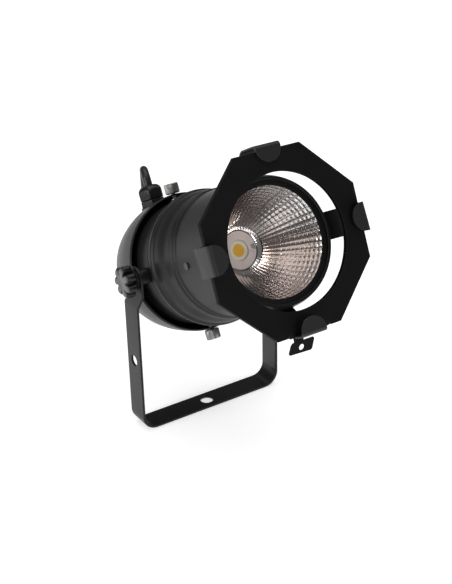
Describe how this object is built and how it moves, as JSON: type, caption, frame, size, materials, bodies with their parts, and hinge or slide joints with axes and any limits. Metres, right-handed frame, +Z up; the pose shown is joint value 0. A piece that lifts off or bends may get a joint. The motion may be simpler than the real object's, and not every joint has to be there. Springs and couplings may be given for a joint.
{
  "type": "stage spotlight",
  "caption": "Short cylindrical stage spotlight on a flat-bar yoke, with a faceted LED reflector, an octagonal filter frame in spring clips and a mains lead.",
  "frame": {"origin": "centre of the yoke's base hole, on the underside of the bar", "axes": "+Z up from the bar to the tilt axis, +X along the tilt axis, the beam leans towards -Y and up"},
  "size_m": [0.2154, 0.3644, 0.2532],
  "materials": {
    "painted_black": "satin black powder coat on sheet steel",
    "label": "blank matt film label",
    "bright_zinc": "zinc-plated steel",
    "black_screw": "black-oxide steel",
    "brass": "plain brass",
    "nickel": "nickel-plated, straight knurled rim",
    "black_plastic": "fine-textured moulded nylon",
    "grey_plastic": "worn moulded nylon",
    "rubber": "matt rubber",
    "cord": "black rubber sheath with a slight sheen",
    "reflector": "vacuum-metallised, faceted",
    "retaining_ring": "satin black",
    "circuit_board": "glass-fibre board",
    "led_substrate": "aluminium-backed board",
    "led_yellow": "silicone with yellow phosphor",
    "white_plastic": "white moulded plastic",
    "sink_aluminium": "die-cast aluminium",
    "wire": "PVC-insulated wire"
  },
  "bodies": {
    "yoke": {"yoke_bar": "painted_black", "rating_label": "label", "cord_tube": "cord", "cord_coil": "cord", "cord_end": "cord", "plug_body": "black_plastic", "plug_pins": "brass"},
    "knob_left": {"star_knob_left": "black_plastic", "knob_disc_left": "grey_plastic", "knob_washer_left": "black_screw"},
    "knob_right": {"star_knob_right": "black_plastic", "knob_disc_right": "grey_plastic", "knob_washer_right": "black_screw"},
    "top_thumbscrew": {"thumbscrew_top": "nickel"},
    "bottom_thumbscrew": {"thumbscrew_bottom": "nickel"},
    "head": {"barrel": "painted_black", "bracket_screws": "bright_zinc", "clip_rivets": "black_screw", "cord_tail": "cord", "driver_board": "circuit_board", "driver_bracket": "bright_zinc", "driver_case": "black_plastic", "earth_screw": "brass", "filter_clip_bottom": "painted_black", "filter_clip_left": "painted_black", "filter_clip_right": "painted_black", "filter_clip_top": "painted_black", "filter_frame": "painted_black", "frame_back_leaf": "painted_black", "gland_body": "black_plastic", "gland_locknut": "black_plastic", "gland_nut": "black_plastic", "gland_seal": "rubber", "heat_sink": "sink_aluminium", "holder_screws": "bright_zinc", "led_board": "led_substrate", "led_dam": "white_plastic", "led_emitter": "led_yellow", "led_holder": "white_plastic", "led_wires": "wire", "pivot_bolt_left": "bright_zinc", "pivot_bolt_right": "bright_zinc", "pivot_spacer_left": "painted_black", "pivot_spacer_right": "painted_black", "rear_cap": "painted_black", "reflector": "reflector", "retaining_ring": "retaining_ring", "rim_nuts": "bright_zinc", "side_screws": "black_screw", "supply_wires": "wire", "terminal_block": "black_plastic"}
  },
  "joints": [
    {"name": "head_tilt", "type": "hinge", "parent": "yoke", "child": "head", "pos_m": [0, 0, 0.132], "axis": [-1, 0, 0], "range_deg": [-57, 62], "deforming": ["cord_tube"]},
    {"name": "knob_left_turn", "type": "hinge", "parent": "head", "child": "knob_left", "pos_m": [-0.066, 0, 0.132], "axis": [-1, 0, 0], "continuous": true},
    {"name": "knob_right_turn", "type": "hinge", "parent": "head", "child": "knob_right", "pos_m": [0.066, 0, 0.132], "axis": [1, 0, 0], "continuous": true},
    {"name": "top_thumbscrew_turn", "type": "hinge", "parent": "head", "child": "top_thumbscrew", "pos_m": [0, 0.0427, 0.17745], "axis": [0, 0.4602, 0.8878], "continuous": true},
    {"name": "bottom_thumbscrew_turn", "type": "hinge", "parent": "head", "child": "bottom_thumbscrew", "pos_m": [0, -0.01252, 0.07091], "axis": [0, -0.4602, -0.8878], "continuous": true}
  ]
}
